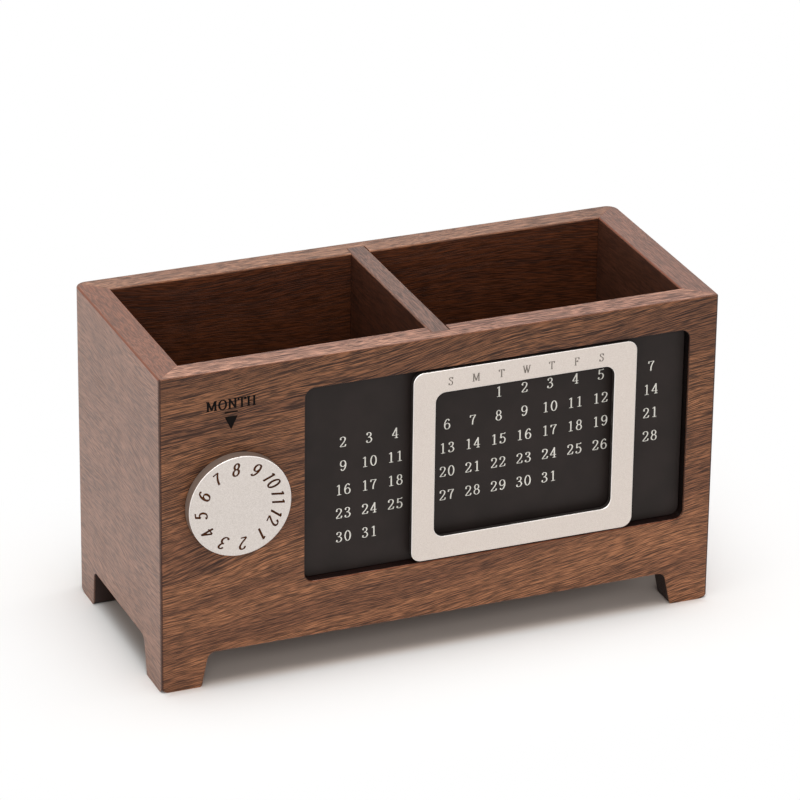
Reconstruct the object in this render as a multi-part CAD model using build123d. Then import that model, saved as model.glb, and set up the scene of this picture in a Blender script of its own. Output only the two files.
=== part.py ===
from build123d import *
import os

# A walnut desk organiser on four short feet, with two open compartments.
# Its front carries a perpetual calendar: a black plate of dates in a shallow recess, a metal
# frame that slides over the plate, and a metal dial that turns to the month.
# Millimetres.  +X is right, +Y is back, +Z is up.  The origin is the middle of the footprint,
# the dial's thickness included, on the surface that the feet stand on.

os.makedirs("parts", exist_ok=True)

# ---------------------------------------------------------------- driving dimensions

# walnut case
width = 170.0
depth = 73.0
height = 97.0
side_wall = 8.5
front_wall = 8.0
back_wall = 8.0
back_corner_radius = 3.5
front_corner_radius = 0.8
rim_radius = 0.6

# feet, cut out of the panels
apron_height = 10.5
side_apron_height = 11.5
foot_width = 12.0
side_front_foot_width = 12.5
side_back_foot_width = 13.5
front_foot_slant = 2.2
back_foot_slant = 1.2
foot_top_radius = 2.5
foot_inner_radius = 0.8
front_foot_outer_radius = 2.2
back_foot_outer_radius = 6.0

# floor and divider
floor_lift = 2.5
floor_thickness = 4.0
floor_groove_depth = 3.0
floor_play = 0.2
divider_thickness = 5.8
divider_shift = 0.45
housing_depth = 4.0

# sliding date frame
window_width = 55.2
window_height = 45.0
rail_width = 6.9
rail_height = 6.9
frame_thickness = 1.5
frame_corner_radius = 3.1
window_corner_radius = 3.0
frame_edge_radius = 0.25
frame_proud = 0.4
magnet_thickness = 1.5
magnet_inset = 1.1
magnet_joint = 0.3
glide_thickness = 0.1
running_gap = 0.3

# recess and the date plate in it: thirteen columns of dates, of which the frame shows seven
recess_left_margin = 43.2
recess_right_margin = 8.8
recess_below_rim = 9.6
hidden_columns = 6
columns_right_of_middle = 1
end_clearance = 0.9
rail_clearance = 0.6
recess_corner_radius = 2.8
recess_edge_radius = 0.25
plate_thickness = 0.8
plate_play = 0.3
adhesive_thickness = 0.2
adhesive_inset = 2.0

# month dial
dial_from_left = 22.5
dial_below_recess_centre = 0.8
dial_diameter = 30.4
dial_proud = 3.7
dial_edge_radius = 0.2
felt_thickness = 0.4
felt_outer_diameter = 22.0
felt_inner_diameter = 9.0
turning_gap = 0.05

# bearing of the dial in the front panel
spindle_diameter = 5.0
spindle_seat_depth = 1.6
spindle_tail = 0.2
bush_outer_diameter = 7.0
bush_flange_diameter = 10.0
bush_flange_thickness = 0.8
running_fit = 0.05
spring_thickness = 0.3
spring_cone = 0.4
spring_outer_diameter = 9.6
nut_across_flats = 8.0
nut_thickness = 2.0
nut_chamfer = 0.3
counterbore_diameter = 13.0

# how near an edge has to be to a mitre plane to count as lying in it
mitre_tolerance = 0.001

# ---------------------------------------------------------------- derived places

front_y = (dial_proud - depth) / 2
back_y = (dial_proud + depth) / 2
half_width = width / 2
inner_half_width = half_width - side_wall
inner_front_y = front_y + front_wall
inner_back_y = back_y - back_wall
middle_y = (inner_front_y + inner_back_y) / 2
inner_depth = inner_back_y - inner_front_y
floor_bottom_z = max(apron_height, side_apron_height) + floor_lift
floor_top_z = floor_bottom_z + floor_thickness

frame_width = window_width + 2 * rail_width
frame_height = window_height + 2 * rail_height
frame_front_y = front_y - frame_proud
magnet_front_y = frame_front_y + frame_thickness
glide_front_y = magnet_front_y + magnet_thickness
plate_front_y = glide_front_y + glide_thickness + running_gap
plate_back_y = plate_front_y + plate_thickness
recess_back_y = plate_back_y + adhesive_thickness
recess_width = width - recess_left_margin - recess_right_margin
recess_height = frame_height + 2 * rail_clearance
recess_centre_x = (recess_left_margin - recess_right_margin) / 2
recess_centre_z = height - recess_below_rim - recess_height / 2
date_pitch = (recess_width - frame_width - 2 * end_clearance) / hidden_columns
frame_centre_x = recess_centre_x + columns_right_of_middle * date_pitch

dial_centre_x = dial_from_left - half_width
dial_centre_z = recess_centre_z - dial_below_recess_centre
dial_back_y = front_y - felt_thickness - turning_gap
dial_front_y = front_y - dial_proud
bush_bore_diameter = spindle_diameter + 2 * running_fit
spring_height = spring_thickness + spring_cone
hub_stack = bush_flange_thickness + spring_height + 2 * turning_gap + nut_thickness + spindle_tail
bush_flange_front_y = inner_front_y - hub_stack
bush_flange_back_y = bush_flange_front_y + bush_flange_thickness
spring_front_y = bush_flange_back_y + turning_gap
nut_front_y = spring_front_y + spring_height + turning_gap

# ---------------------------------------------------------------- helpers


def block(x_range, y_range, z_range):
    """A box between two values on each axis."""
    low = (x_range[0], y_range[0], z_range[0])
    size = [high - start for start, high in (x_range, y_range, z_range)]
    return Pos(*low) * Box(*size, align=(Align.MIN, Align.MIN, Align.MIN))


def facing_plane(x, y, z):
    """A sketch plane at a point, looked at from the front: its +Z is world +Y."""
    return Plane(origin=(x, y, z), x_dir=(1, 0, 0), z_dir=(0, -1, 0))


def slab(x, z, y_front, thickness, outline):
    """An outline, as seen from the front, extruded backwards from y_front."""
    return extrude(facing_plane(x, y_front, z) * outline, amount=-thickness)


def ring(x, z, y_front, thickness, outer_diameter, inner_diameter):
    outline = Circle(outer_diameter / 2) - Circle(inner_diameter / 2)
    return slab(x, z, y_front, thickness, outline)


def wall_outline(span, apron, left_foot, right_foot):
    """One wall seen square on: upright, with the arch between its two feet cut out.
    A foot is its width, how far its inner edge slants, and the radius of its outer corner."""
    half = span / 2
    left_width, left_slant, left_radius = left_foot
    right_width, right_slant, right_radius = right_foot
    corners = [
        (-half, 0),
        (left_width - half, 0),
        (left_width + left_slant - half, apron),
        (half - right_width - right_slant, apron),
        (half - right_width, 0),
        (half, 0),
        (half, height),
        (-half, height),
    ]
    outline = make_face(Polyline(*corners, close=True))
    outline = fillet(outline.vertices().group_by(Axis.Y)[1], foot_top_radius)
    foot_corners = outline.vertices().group_by(Axis.Y)[0].sort_by(Axis.X)
    outline = fillet(foot_corners[1:-1], foot_inner_radius)
    outline = fillet(outline.vertices().group_by(Axis.Y)[0].sort_by(Axis.X)[0], left_radius)
    return fillet(outline.vertices().group_by(Axis.Y)[0].sort_by(Axis.X)[-1], right_radius)


# ---------------------------------------------------------------- walnut case


def case_ring():
    """The four walls as one upright ring, before the mitres part them."""
    ring_body = block((-half_width, half_width), (front_y, back_y), (0, height))
    uprights = ring_body.edges().filter_by(Axis.Z)
    ring_body = fillet(uprights.group_by(Axis.Y)[-1], back_corner_radius)
    uprights = ring_body.edges().filter_by(Axis.Z)
    ring_body = fillet(uprights.group_by(Axis.Y)[0], front_corner_radius)
    return ring_body - block(
        (-inner_half_width, inner_half_width),
        (inner_front_y, inner_back_y),
        (0, height),
    )


def mitre_point(x_side, y_side, share):
    """A point on a mitre line: 0 at the case's outer corner, 1 at its inner corner."""
    outer_y, inner_y = (front_y, inner_front_y) if y_side < 0 else (back_y, inner_back_y)
    x = half_width - share * side_wall
    return Vector(x_side * x, outer_y + share * (inner_y - outer_y))


def between_mitres(first, second):
    """The upright prism that one wall fills, between the mitres at two corners."""
    outside, inside = -0.5, 1.3  # shares of a mitre, past both ends of it
    corners = [
        mitre_point(*first, outside),
        mitre_point(*second, outside),
        mitre_point(*second, inside),
        mitre_point(*first, inside),
    ]
    return extrude(make_face(Polyline(*corners, close=True)), amount=height)


def distance_to_mitre(point, corner):
    outer_corner = mitre_point(*corner, 0)
    along = (mitre_point(*corner, 1) - outer_corner).normalized()
    return abs(along.cross(point - outer_corner).Z)


def off_mitres(edges, corners):
    """The edges that lie in none of the mitre planes at the given corners."""
    return [
        edge for edge in edges
        if min(distance_to_mitre(edge.center(), corner) for corner in corners) > mitre_tolerance
    ]


def case_wall(first, second, template):
    """One wall of the case, from one mitred corner to the next, with its rim eased."""
    wall = case_ring() & between_mitres(first, second)
    wall &= template
    rim_edges = off_mitres(wall.edges().group_by(Axis.Z)[-1], (first, second))
    return fillet(rim_edges, rim_radius) - floor_groove() - divider_space()


def floor_groove():
    reach_x = inner_half_width + floor_groove_depth
    y_range = (inner_front_y - floor_groove_depth, inner_back_y + floor_groove_depth)
    return block((-reach_x, reach_x), y_range, (floor_bottom_z, floor_top_z))


def divider_space():
    """The divider and its housings: notches in the front and back walls."""
    half = divider_thickness / 2
    x_range = (divider_shift - half, divider_shift + half)
    y_range = (inner_front_y - housing_depth, inner_back_y + housing_depth)
    return block(x_range, y_range, (floor_top_z, height))


def date_recess():
    outline = RectangleRounded(recess_width, recess_height, recess_corner_radius)
    return slab(recess_centre_x, recess_centre_z, front_y, recess_back_y - front_y, outline)


def dial_bore():
    """The bush's hole right through the front wall, and the counterbore behind it."""
    hole = slab(dial_centre_x, dial_centre_z, front_y, front_wall, Circle(bush_outer_diameter / 2))
    counterbore = slab(
        dial_centre_x, dial_centre_z, bush_flange_front_y, hub_stack,
        Circle(counterbore_diameter / 2),
    )
    return hole + counterbore


def front_wall_with_calendar(wall):
    """The front wall with the plate's recess and the dial's bore cut in it."""
    wall = wall - date_recess() - dial_bore()
    face = wall.faces().filter_by(Axis.Y).sort_by(Axis.Y)[0]
    outlines = [edge for wire in face.inner_wires() for edge in wire.edges()]
    dial_reach = dial_centre_x + bush_outer_diameter
    recess_outline = [edge for edge in outlines if edge.center().X > dial_reach]
    return fillet(recess_outline, recess_edge_radius)


def case_panels():
    case_middle = Pos(0, (front_y + back_y) / 2, 0)
    front_foot = (foot_width, front_foot_slant, front_foot_outer_radius)
    back_foot = (foot_width, back_foot_slant, back_foot_outer_radius)
    side_front_foot = (side_front_foot_width, front_foot_slant, front_foot_outer_radius)
    side_back_foot = (side_back_foot_width, back_foot_slant, back_foot_outer_radius)
    front_outline = Plane.XZ * wall_outline(width, apron_height, front_foot, front_foot)
    back_outline = Plane.XZ * wall_outline(width, apron_height, back_foot, back_foot)
    side_outline = Plane.YZ * wall_outline(depth, side_apron_height, side_front_foot, side_back_foot)
    front_template = case_middle * extrude(front_outline, amount=depth, both=True)
    back_template = case_middle * extrude(back_outline, amount=depth, both=True)
    side_template = case_middle * extrude(side_outline, amount=width, both=True)
    front_left, front_right, back_left, back_right = (-1, -1), (1, -1), (-1, 1), (1, 1)
    front_wall_body = case_wall(front_left, front_right, front_template)
    return {
        "front_panel": front_wall_with_calendar(front_wall_body),
        "back_panel": case_wall(back_left, back_right, back_template),
        "left_side_panel": case_wall(front_left, back_left, side_template),
        "right_side_panel": case_wall(front_right, back_right, side_template),
    }


def floor_panel():
    reach_x = inner_half_width + floor_groove_depth - floor_play
    reach_y = inner_depth / 2 + floor_groove_depth - floor_play
    y_range = (middle_y - reach_y, middle_y + reach_y)
    return block((-reach_x, reach_x), y_range, (floor_bottom_z, floor_top_z))


def divider_panel():
    board = divider_space()
    top_edges = board.faces().sort_by(Axis.Z)[-1].edges().filter_by(Axis.Y)
    return fillet(top_edges, rim_radius)


# ---------------------------------------------------------------- date plate and sliding frame


def date_plate():
    outline = RectangleRounded(
        recess_width - 2 * plate_play,
        recess_height - 2 * plate_play,
        recess_corner_radius - plate_play,
    )
    return slab(recess_centre_x, recess_centre_z, plate_front_y, plate_thickness, outline)


def plate_adhesive():
    border = plate_play + adhesive_inset
    outline = Rectangle(recess_width - 2 * border, recess_height - 2 * border)
    return slab(recess_centre_x, recess_centre_z, plate_back_y, adhesive_thickness, outline)


def slider_frame():
    outline = RectangleRounded(frame_width, frame_height, frame_corner_radius)
    outline -= RectangleRounded(window_width, window_height, window_corner_radius)
    body = slab(frame_centre_x, recess_centre_z, frame_front_y, frame_thickness, outline)
    front_face = body.faces().sort_by(Axis.Y)[0]
    return fillet(front_face.edges(), frame_edge_radius)


def border_strips(y_front, thickness, inset):
    """Four strips behind the frame's rails, set in from both edges, with open corners."""
    bar_width = rail_width - 2 * inset
    bar_height = rail_height - 2 * inset
    x_middle = (window_width + rail_width) / 2
    z_middle = (window_height + rail_height) / 2
    across = frame_width - 2 * inset - 2 * frame_corner_radius
    upright = frame_height - 2 * inset - 2 * bar_height - 2 * magnet_joint
    strips = {}
    for name, x_side, z_side in (("left", -1, 0), ("right", 1, 0), ("top", 0, 1), ("bottom", 0, -1)):
        size = (bar_width, upright) if x_side else (across, bar_height)
        x = frame_centre_x + x_side * x_middle
        z = recess_centre_z + z_side * z_middle
        strips[name] = slab(x, z, y_front, thickness, Rectangle(*size))
    return strips


# ---------------------------------------------------------------- month dial and its bearing


def month_dial():
    disc = slab(
        dial_centre_x, dial_centre_z, dial_front_y, dial_back_y - dial_front_y,
        Circle(dial_diameter / 2),
    )
    disc = fillet(disc.faces().sort_by(Axis.Y)[0].edges(), dial_edge_radius)
    seat = slab(
        dial_centre_x, dial_centre_z, dial_back_y - spindle_seat_depth, spindle_seat_depth,
        Circle(spindle_diameter / 2),
    )
    return disc - seat


def dial_spindle():
    start_y = dial_back_y - spindle_seat_depth
    end_y = nut_front_y + nut_thickness
    return slab(dial_centre_x, dial_centre_z, start_y, end_y - start_y, Circle(spindle_diameter / 2))


def dial_felt():
    return ring(
        dial_centre_x, dial_centre_z, dial_back_y, felt_thickness,
        felt_outer_diameter, felt_inner_diameter,
    )


def dial_bush():
    sleeve = ring(
        dial_centre_x, dial_centre_z, front_y, bush_flange_back_y - front_y,
        bush_outer_diameter, bush_bore_diameter,
    )
    flange = ring(
        dial_centre_x, dial_centre_z, bush_flange_front_y, bush_flange_thickness,
        bush_flange_diameter, bush_bore_diameter,
    )
    return sleeve + flange


def spring_washer():
    """A coned washer: its outer rim bears on the bush's flange, its inner rim on the nut."""
    inner = spindle_diameter / 2 + running_fit
    outer = spring_outer_diameter / 2
    section = [
        (outer, spring_front_y),
        (outer, spring_front_y + spring_thickness),
        (inner, spring_front_y + spring_height),
        (inner, spring_front_y + spring_cone),
    ]
    profile = make_face(Polyline(*section, close=True))
    return Pos(dial_centre_x, 0, dial_centre_z) * revolve(profile, Axis.Y)


def lock_nut():
    outline = RegularPolygon(nut_across_flats / 2, 6, major_radius=False)
    body = slab(dial_centre_x, dial_centre_z, nut_front_y, nut_thickness, outline)
    body = chamfer(body.faces().sort_by(Axis.Y)[-1].edges(), nut_chamfer)
    bore = slab(
        dial_centre_x, dial_centre_z, nut_front_y, nut_thickness, Circle(spindle_diameter / 2)
    )
    return body - bore


# ---------------------------------------------------------------- one file per piece

pieces = case_panels()
pieces["floor_panel"] = floor_panel()
pieces["divider_panel"] = divider_panel()
pieces["date_plate"] = date_plate()
pieces["plate_adhesive"] = plate_adhesive()
pieces["slider_frame"] = slider_frame()
for place, strip in border_strips(magnet_front_y, magnet_thickness, magnet_inset).items():
    pieces["slider_magnet_" + place] = strip
glide_films = border_strips(glide_front_y, glide_thickness, magnet_inset)
pieces["slider_glide_film"] = Compound(children=list(glide_films.values()))
pieces["month_dial"] = month_dial()
pieces["dial_spindle"] = dial_spindle()
pieces["dial_felt"] = dial_felt()
pieces["dial_bush"] = dial_bush()
pieces["spring_washer"] = spring_washer()
pieces["lock_nut"] = lock_nut()

for name, shape in pieces.items():
    export_step(shape, "parts/" + name + ".step")
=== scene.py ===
import math

import bmesh
import bpy
from mathutils import Matrix, Vector
from mathutils.geometry import delaunay_2d_cdt


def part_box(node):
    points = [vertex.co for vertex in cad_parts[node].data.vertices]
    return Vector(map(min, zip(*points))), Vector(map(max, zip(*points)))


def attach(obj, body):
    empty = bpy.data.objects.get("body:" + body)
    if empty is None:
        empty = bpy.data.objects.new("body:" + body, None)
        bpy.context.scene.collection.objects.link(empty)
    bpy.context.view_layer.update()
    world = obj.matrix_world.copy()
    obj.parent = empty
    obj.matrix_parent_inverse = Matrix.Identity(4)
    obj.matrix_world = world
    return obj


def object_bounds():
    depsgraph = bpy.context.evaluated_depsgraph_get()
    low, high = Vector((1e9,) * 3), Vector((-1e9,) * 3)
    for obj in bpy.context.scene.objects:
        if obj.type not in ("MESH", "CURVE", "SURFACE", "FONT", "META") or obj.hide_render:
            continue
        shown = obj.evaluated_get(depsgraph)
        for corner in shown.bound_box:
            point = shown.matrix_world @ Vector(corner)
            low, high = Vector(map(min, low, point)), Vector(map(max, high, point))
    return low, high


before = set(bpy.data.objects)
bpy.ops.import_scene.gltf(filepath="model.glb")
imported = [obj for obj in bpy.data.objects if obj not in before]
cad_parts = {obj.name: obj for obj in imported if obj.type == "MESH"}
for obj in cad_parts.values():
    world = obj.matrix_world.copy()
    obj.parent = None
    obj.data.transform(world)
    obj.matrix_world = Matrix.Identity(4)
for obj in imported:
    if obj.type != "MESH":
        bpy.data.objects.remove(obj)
cad_box = [list(corner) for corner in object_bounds()]

# A walnut desk organiser with a perpetual calendar: the finish of its boards and metal parts,
# the printed dates, the engraved weekday initials and month numbers, and a plain pale studio.
# Metres.  +X is right, +Y is back, +Z is up, as in the frame.

MM = 0.001

# ---------------------------------------------------------------- sizes of the marks
# A height is that of a capital, and a spacing is a share of it.  A weight thickens the pen, a
# widening stretches the letters sideways, and at an evenness of 1 thin strokes are as thick as stems.

# dates printed on the plate: thirteen columns, the seventh in the middle, and six rows
DATE_COLUMNS = 13
DATE_ROWS = 6
DAYS_IN_WEEK = 7
LAST_DATE = 31
FIRST_DATE_COLUMN = 7
DATE_PITCH = 7.93 * MM
ROW_PITCH = 7.39 * MM
DATES_RIGHT_OF_MIDDLE = 1.0 * MM
TOP_ROW_BELOW_PLATE_TOP = 11.2 * MM
DATES_ASKEW = math.radians(-0.64)
DATE_HEIGHT = 3.25 * MM
DATE_SPACING = 0.13
DATE_WIDENING = 1.13
DATE_WEIGHT = 0.70

# weekday initials engraved in the sliding frame's top rail
WEEKDAYS = "SMTWTFS"
WEEKDAY_PITCH = 7.75 * MM
WEEKDAY_HEIGHT = 2.45 * MM
WEEKDAY_WEIGHT = 0.95
WEEKDAYS_RIGHT_OF_MIDDLE = 0.1 * MM
WEEKDAYS_BELOW_RAIL_MIDDLE = 0.2 * MM

# month numbers engraved in the dial, read clockwise with their tops outwards
MONTHS = 12
MONTH_AT_TOP = 8
DIAL_TURN = math.radians(-4.5)
MONTH_RADIUS = 11.5 * MM
MONTH_HEIGHT = 3.8 * MM
MONTH_SPACING = 0.06
MONTH_SLANT = 0.2
MONTH_WEIGHT = 1.1
MONTH_EVENNESS = 0.4
MONTH_WIDENING = 1.06
DIAL_PRINT_SHIFT = (-0.25 * MM, -0.1 * MM)

# the word and the pointer printed on the front above the dial
LABEL_X = -63.8 * MM
LABEL_Z = 86.65 * MM
LABEL_HEIGHT = 3.0 * MM
LABEL_SPACING = 0.06
LABEL_WIDENING = 1.14
LABEL_WEIGHT = 1.15
LABEL_EVENNESS = 0.15
POINTER_BAR = (3.85 * MM, 0.45 * MM)
POINTER_BAR_Z = 84.1 * MM
POINTER_TOP_Z = 82.8 * MM
POINTER_SIZE = (3.85 * MM, 4.05 * MM)

INK_THICKNESS = 0.03 * MM
INK_SUNK = 0.02 * MM
ENGRAVING_DEPTH = 0.12 * MM

# the modifiers that cut the engraving
WELD_GAP = 0.0005 * MM
SHARP_CORNER = math.radians(35)

# ---------------------------------------------------------------- node trees


def node(tree, kind, settings=None, **inputs):
    """A node of a kind, with its settings, values and links.  An input is called by its name, with
    _ for each space, or by _ and its number."""
    made = tree.nodes.new("ShaderNode" + kind)
    for name, value in (settings or {}).items():
        setattr(made, name, value)
    for name, value in inputs.items():
        index = int(name[1:]) if name[0] == "_" else name.replace("_", " ")
        plug(tree, made.inputs[index], value)
    return made


def plug(tree, socket, value):
    if isinstance(value, bpy.types.NodeSocket):
        tree.links.new(value, socket)
    else:
        socket.default_value = value


def calc(tree, operation, first, second=0.0, clamp=False):
    settings = {"operation": operation, "use_clamp": clamp}
    return node(tree, "Math", settings, _0=first, _1=second).outputs[0]


def product(tree, first, second):
    return calc(tree, "MULTIPLY", first, second)


def greatest(tree, first, *others):
    for value in others:
        first = calc(tree, "MAXIMUM", first, value)
    return first


def vector_calc(tree, operation, first, second=(0.0, 0.0, 0.0)):
    return node(tree, "VectorMath", {"operation": operation}, _0=first, _1=second).outputs[0]


def blend_colours(tree, factor, first, second, mode="MIX"):
    made = node(tree, "Mix", {"data_type": "RGBA", "blend_type": mode})
    for index, value in ((0, factor), (6, first), (7, second)):
        plug(tree, made.inputs[index], value)
    return made.outputs[2]


def tinted(tree, first, second):
    return blend_colours(tree, 1.0, first, second, "MULTIPLY")


def grey(tree, level):
    return node(tree, "CombineColor", _0=level, _1=level, _2=level).outputs[0]


def between(tree, value, low, high, low_out=0.0, high_out=1.0):
    """A value moved smoothly from one range to another, and held at both ends."""
    made = node(
        tree, "MapRange", {"interpolation_type": "SMOOTHSTEP"},
        _0=value, _1=low, _2=high, _3=low_out, _4=high_out,
    )
    return made.outputs[0]


def grainy(tree, vector, scale, detail=2.0, roughness=0.5):
    """Noise from 0 to 1 at a scale for each axis, in cycles per unit of the vector."""
    made = node(
        tree, "TexNoise", {"noise_dimensions": "3D"},
        Vector=vector_calc(tree, "MULTIPLY", vector, scale), Scale=1.0, Detail=detail,
        Roughness=roughness,
    )
    return made.outputs["Fac"]


def past_box(tree, place, low, high):
    """How far a place lies past a box's sides, on each axis.  Inside the box all three are below 0."""
    middle = [(a + b) / 2 for a, b in zip(low, high)]
    half = [(b - a) / 2 for a, b in zip(low, high)]
    apart = vector_calc(tree, "ABSOLUTE", vector_calc(tree, "SUBTRACT", place, middle))
    return vector_calc(tree, "SUBTRACT", apart, half)


def looked_at(tree):
    """1 for the rays of the camera, of reflections and through glass, 0 for those of soft light."""
    path = node(tree, "LightPath").outputs
    return greatest(
        tree, path["Is Camera Ray"], path["Is Glossy Ray"], path["Is Transmission Ray"],
    )


def shared_effect(name, inputs, outputs, build):
    """A node group with named sockets.  build(tree, inputs) gives a value for each output."""
    tree = bpy.data.node_groups.new(name, "ShaderNodeTree")
    for label, kind, value in inputs:
        socket = tree.interface.new_socket(label, in_out="INPUT", socket_type="NodeSocket" + kind)
        if value is not None:
            socket.default_value = value
    for label, kind in outputs:
        tree.interface.new_socket(label, in_out="OUTPUT", socket_type="NodeSocket" + kind)
    enter = tree.nodes.new("NodeGroupInput")
    leave = tree.nodes.new("NodeGroupOutput")
    values = build(tree, enter.outputs)
    for label, _ in outputs:
        tree.links.new(values[label], leave.inputs[label])
    return tree


def place_effect(tree, effect, **inputs):
    made = tree.nodes.new("ShaderNodeGroup")
    made.node_tree = effect
    for name, value in inputs.items():
        plug(tree, made.inputs[name.replace("_", " ")], value)
    return made.outputs


def colour(red, green, blue):
    """A colour as read off a screen, 0 to 255, in linear light."""
    linear = [
        c / 12.92 if c <= 0.04045 else ((c + 0.055) / 1.055) ** 2.4
        for c in (red / 255, green / 255, blue / 255)
    ]
    return (*linear, 1.0)


WHITE = (1.0, 1.0, 1.0, 1.0)

# ---------------------------------------------------------------- where shade is painted on the wood
# Each box holds the faces that get its tint: painted shade in the compartments and under the
# arches, and a near-black tone on the walls of the plate's recess.  All of it is in mm.

CAVITY_TOP_BELOW_RIM = 0.5
ARCH_TOP = 12.0
ARCH_INSET = 0.6
FOOT_WIDTH = 11.4
RECESS_INSET = 0.45
RECESS_MARGIN = 0.5
LIP_WIDTH = 1.0
PAST_THE_WOOD = 1.0

# how softly each tint ends
CAVITY_SOFTNESS = 0.15
ARCH_SOFTNESS = 0.6
RECESS_SOFTNESS = 0.12

# painted shade for the compartments and the arches, and a near-black tone for the recess walls
CAVITY_PAINTED_SHADE = (0.29, 0.19, 0.14, 1.0)
ARCH_PAINTED_SHADE = (0.08, 0.045, 0.035, 1.0)
RECESS_TINT = (0.03, 0.02, 0.02, 1.0)


def in_mm(corner):
    return [value / MM for value in corner]


case_low, case_high = in_mm(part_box("left_side_panel")[0]), in_mm(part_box("right_side_panel")[1])
front_low, front_high = in_mm(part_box("front_panel")[0]), in_mm(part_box("front_panel")[1])
back_low, back_high = in_mm(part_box("back_panel")[0]), in_mm(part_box("back_panel")[1])
plate_low, plate_high = in_mm(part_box("date_plate")[0]), in_mm(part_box("date_plate")[1])
inside_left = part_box("left_side_panel")[1].x / MM
inside_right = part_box("right_side_panel")[0].x / MM

CASE_HEIGHT = (case_low[2], case_high[2])
CAVITY = (
    [inside_left, front_high[1], -PAST_THE_WOOD],
    [inside_right, back_low[1], front_high[2] - CAVITY_TOP_BELOW_RIM],
)
LONG_ARCHES = (
    [case_low[0] + FOOT_WIDTH, front_low[1] + ARCH_INSET, -PAST_THE_WOOD],
    [case_high[0] - FOOT_WIDTH, back_high[1] - ARCH_INSET, ARCH_TOP],
)
SIDE_ARCHES = (
    [case_low[0] + ARCH_INSET, front_low[1] + FOOT_WIDTH, -PAST_THE_WOOD],
    [case_high[0] - ARCH_INSET, back_high[1] - FOOT_WIDTH, ARCH_TOP],
)
RECESS = (
    [plate_low[0] - RECESS_MARGIN, front_low[1] + RECESS_INSET, plate_low[2] - RECESS_MARGIN],
    [corner + RECESS_MARGIN for corner in plate_high],
)
LIP = (
    [RECESS[0][0], front_low[1] - PAST_THE_WOOD, RECESS[0][2] - LIP_WIDTH],
    [RECESS[1][0], RECESS[0][1], RECESS[0][2] + LIP_WIDTH],
)

# ---------------------------------------------------------------- shared effects

# nearly all of a smooth noise's values lie in this range
NOISE_RANGE = (0.3, 0.7)

# the parts of walnut's figure, in cycles per mm along the grain, up the board and through it
BAND_SCALE = (0.004, 0.10, 0.06)
RING_SCALE = (0.012, 0.46, 0.25)
FIBRE_SCALE = (0.20, 3.6, 3.4)
PORE_SCALE = (0.065, 3.7, 3.5)
FLECK_SCALE = (0.22, 3.3, 3.0)
SHIMMER_SCALE = (0.16, 0.035, 0.05)

# how far the grain wanders up and down the board, in mm, and on what scale
SWAY = 15.0
SWAY_SCALE = (0.011, 0.03, 0.03)
RIPPLE = 1.5
RIPPLE_SCALE = (0.045, 0.12, 0.12)

# where the noise turns into a mark, and how strong the mark is
BAND_RANGE = (0.36, 0.64)
RING_RANGE = (0.40, 0.66)
FIBRE_RANGE = (0.34, 0.66)
PORE_RANGE = (0.54, 0.62)
FLECK_RANGE = (0.57, 0.66)
RING_STRENGTH = 0.10
PORE_STRENGTH = 0.80
FLECK_STRENGTH = 0.28
SHIMMER_LIGHT = (0.94, 1.06)

# the fibres' height above the pores' depth of 1, and how much rougher both make the wood
FIBRE_HEIGHT = 0.35
FIBRE_ROUGHNESS = 0.10
PORE_ROUGHNESS = 0.18


def walnut_figure(tree, inputs):
    """Walnut in board coordinates, in mm: X runs along the grain.  Boldness is how far its rings,
    flecks and pores stand out, and Fibre Contrast does the same for the finest fibres."""
    board = inputs["Board"]
    bold = inputs["Boldness"]
    sway = product(tree, grainy(tree, board, SWAY_SCALE, detail=1.0), SWAY)
    ripple = product(tree, grainy(tree, board, RIPPLE_SCALE, detail=1.0), RIPPLE)
    wander = node(tree, "CombineXYZ", Y=calc(tree, "ADD", sway, ripple)).outputs[0]
    grain = vector_calc(tree, "ADD", board, wander)

    bands = grainy(tree, grain, BAND_SCALE)
    rings = grainy(tree, grain, RING_SCALE, roughness=0.6)
    fibres = grainy(tree, grain, FIBRE_SCALE, detail=1.0, roughness=0.8)
    pores = grainy(tree, grain, PORE_SCALE, detail=0.0)
    flecks = grainy(tree, board, FLECK_SCALE, detail=0.0)
    shimmer = grainy(tree, board, SHIMMER_SCALE, detail=1.0)

    band_mask = between(tree, bands, *BAND_RANGE)
    ring_mask = product(tree, between(tree, rings, *RING_RANGE), bold)
    pore_mask = product(tree, between(tree, pores, *PORE_RANGE), bold)
    fleck_mask = product(tree, between(tree, flecks, *FLECK_RANGE), bold)
    ring_share = product(tree, ring_mask, RING_STRENGTH)
    pore_share = product(tree, pore_mask, PORE_STRENGTH)
    fleck_share = product(tree, fleck_mask, FLECK_STRENGTH)

    wood = blend_colours(tree, band_mask, inputs["Light Wood"], inputs["Mid Wood"])
    wood = blend_colours(tree, ring_share, wood, inputs["Dark Wood"])
    wood = blend_colours(tree, fleck_share, wood, inputs["Light Wood"])
    wave = between(tree, fibres, *FIBRE_RANGE, -1.0, 1.0)
    wave = product(tree, wave, inputs["Fibre Contrast"])
    glow = between(tree, shimmer, *NOISE_RANGE, *SHIMMER_LIGHT)
    light = product(tree, calc(tree, "ADD", wave, 1.0), glow)
    wood = tinted(tree, wood, grey(tree, light))
    wood = blend_colours(tree, pore_share, wood, inputs["Pores"])

    height = calc(tree, "SUBTRACT", product(tree, fibres, FIBRE_HEIGHT), pore_mask)
    rough_pores = product(tree, pore_mask, PORE_ROUGHNESS)
    rough = calc(tree, "ADD", rough_pores, product(tree, fibres, FIBRE_ROUGHNESS))
    return {"Colour": wood, "Roughening": rough, "Height": height}


# the grit's cells keep the size that they are given, and the mottle is in cycles per mm
EVENLY = (1.0, 1.0, 1.0)
MOTTLE_SCALE = (0.10, 0.10, 0.10)


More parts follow.
